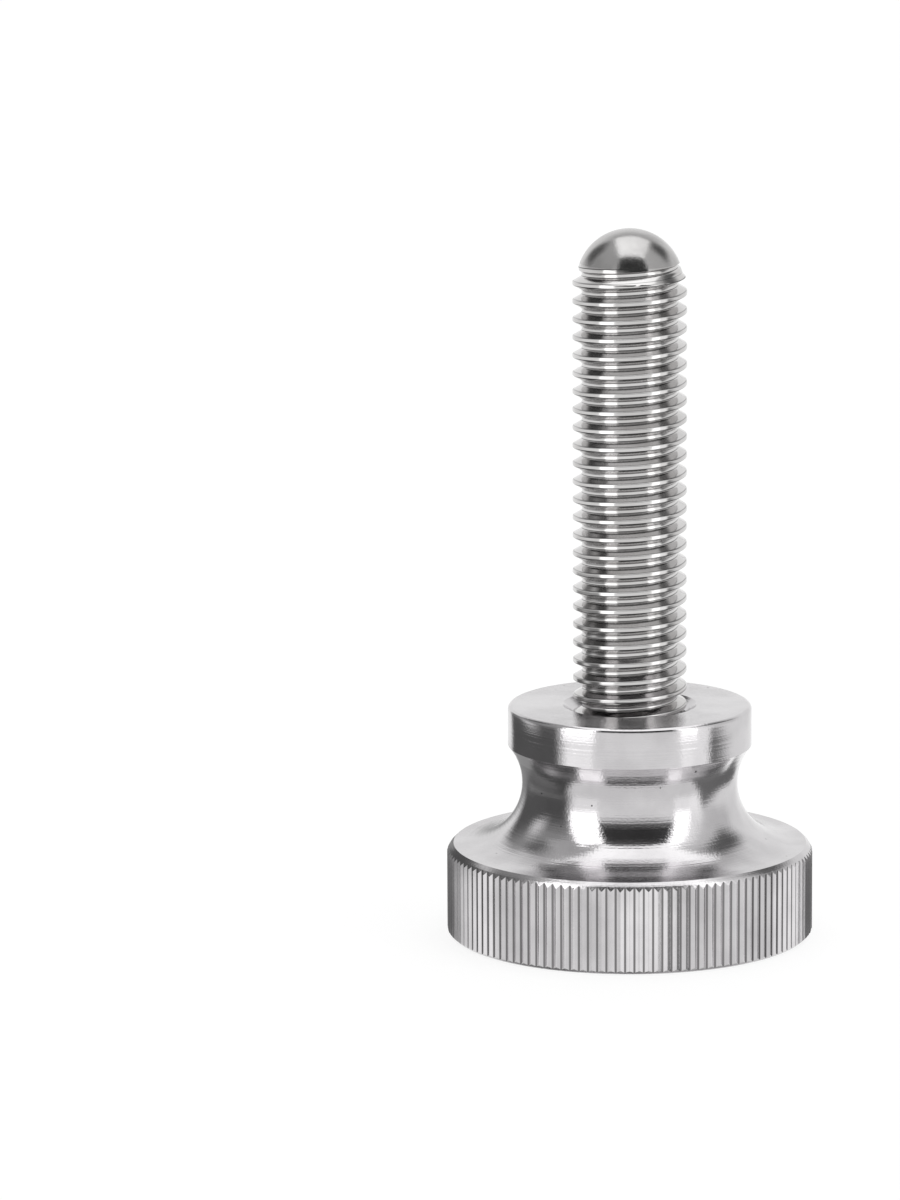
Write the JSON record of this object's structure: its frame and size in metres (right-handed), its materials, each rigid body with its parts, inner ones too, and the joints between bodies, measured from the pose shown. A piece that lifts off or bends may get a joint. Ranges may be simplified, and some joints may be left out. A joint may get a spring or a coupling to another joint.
{
  "type": "knurled thumb screw",
  "caption": "Thumb screw with a straight-knurled round head, a waisted neck, a collar with a flat clamping face and a threaded stud that ends in a ball tip.",
  "frame": {"origin": "centre of the head's flat end face, which the screw stands on", "axes": "+Z along the screw's axis, from the head to the ball tip"},
  "size_m": [0.0254, 0.0254, 0.0492],
  "materials": {
    "head_plating": "bright plating over finely turned steel, with a few pits and scratches",
    "stud_steel": "bare bright steel thread, slightly warmer and darker than the head"
  },
  "bodies": {
    "root": {"knurled_head": "head_plating", "threaded_stud": "stud_steel"}
  },
  "joints": []
}
